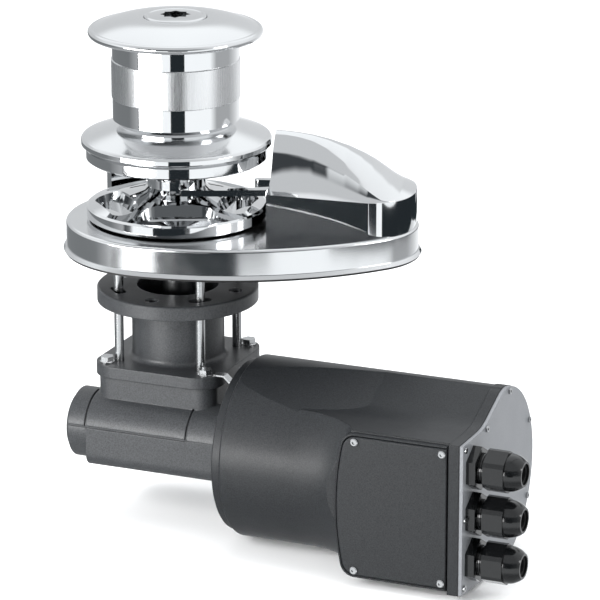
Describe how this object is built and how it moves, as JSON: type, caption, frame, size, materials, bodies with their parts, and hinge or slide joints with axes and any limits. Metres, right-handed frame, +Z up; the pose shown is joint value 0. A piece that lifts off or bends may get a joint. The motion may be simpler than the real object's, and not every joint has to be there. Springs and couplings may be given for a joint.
{
  "type": "anchor windlass",
  "caption": "Vertical anchor windlass: oval deck base with chain wheel, warping drum and chain hood, on studs above a worm gearbox with electric motor and terminal box.",
  "frame": {"origin": "on the main shaft axis, in the plane of the deck under the base gasket", "axes": "+Z up along the main shaft, +X toward the right of the picture, -Y toward the viewer"},
  "size_m": [0.3807, 0.3323, 0.4157],
  "materials": {
    "polished_steel": "mirror polished stainless steel",
    "stainless_steel": "machined stainless steel",
    "grey_casting": "charcoal grey coated aluminium casting",
    "grey_plate": "satin grey aluminium plate",
    "bronze": "machined bronze",
    "copper": "bare copper segments",
    "core_steel": "laminated core steel",
    "black_rubber": "black rubber",
    "black_plastic": "glossy black polyamide",
    "block_plastic": "matt moulded plastic"
  },
  "bodies": {
    "housing": {"base": "polished_steel", "hood": "polished_steel", "stripper": "polished_steel", "chain_guard": "polished_steel", "lever_pin": "polished_steel", "studs": "stainless_steel", "neck_bolts": "stainless_steel", "flange_screws": "stainless_steel", "deck_screws": "stainless_steel", "cover_screws": "stainless_steel", "lid_screws": "stainless_steel", "end_screws": "stainless_steel", "earth_strap": "stainless_steel", "earth_screw": "stainless_steel", "neck": "grey_casting", "gearbox": "grey_casting", "gearbox_cover": "grey_casting", "worm_cap": "grey_casting", "motor_ring": "grey_casting", "motor_cover": "grey_casting", "box_lid": "grey_casting", "end_plate": "grey_plate", "upper_bush": "bronze", "lower_bush": "bronze", "neck_bush": "bronze", "worm_bushes": "bronze", "stator": "core_steel", "base_gasket": "black_rubber", "deck_seal": "black_rubber", "lid_seal": "black_rubber", "gland_seals": "black_rubber", "gland_bodies": "black_plastic", "gland_nuts": "black_plastic", "terminal_block": "block_plastic"},
    "shaft": {"shaft": "stainless_steel", "shaft_keys": "stainless_steel", "worm_wheel": "bronze", "lower_cone": "stainless_steel", "drum": "polished_steel"},
    "chain_wheel": {"gypsy": "polished_steel"},
    "nut": {"clutch_nut": "polished_steel"},
    "worm": {"worm": "stainless_steel", "armature": "core_steel", "commutator": "copper"},
    "lever": {"pressure_lever": "polished_steel"}
  },
  "joints": [
    {"name": "shaft_spin", "type": "hinge", "parent": "housing", "child": "shaft", "pos_m": [0, 0, 0], "axis": [0, 0, 1], "continuous": true},
    {"name": "chain_wheel_spin", "type": "hinge", "parent": "housing", "child": "chain_wheel", "pos_m": [0, 0, 0.0574], "axis": [0, 0, 1], "continuous": true},
    {"name": "nut_turn", "type": "hinge", "parent": "shaft", "child": "nut", "pos_m": [0, 0, 0.19], "axis": [0, 0, 1], "range_deg": [0, 180]},
    {"name": "worm_spin", "type": "hinge", "parent": "housing", "child": "worm", "pos_m": [-0.01563, -0.03682, -0.146], "axis": [0.9205, -0.3907, 0], "continuous": true},
    {"name": "lever_swing", "type": "hinge", "parent": "housing", "child": "lever", "pos_m": [0.16012, -0.01683, 0.054], "axis": [0, 0, 1], "range_deg": [0, 8], "stiffness_Nm_per_rad": 0.5, "springref_deg": -5.73}
  ],
  "couplings": [
    {"joint": "worm_spin", "follows": "shaft_spin", "ratio": -28}
  ]
}
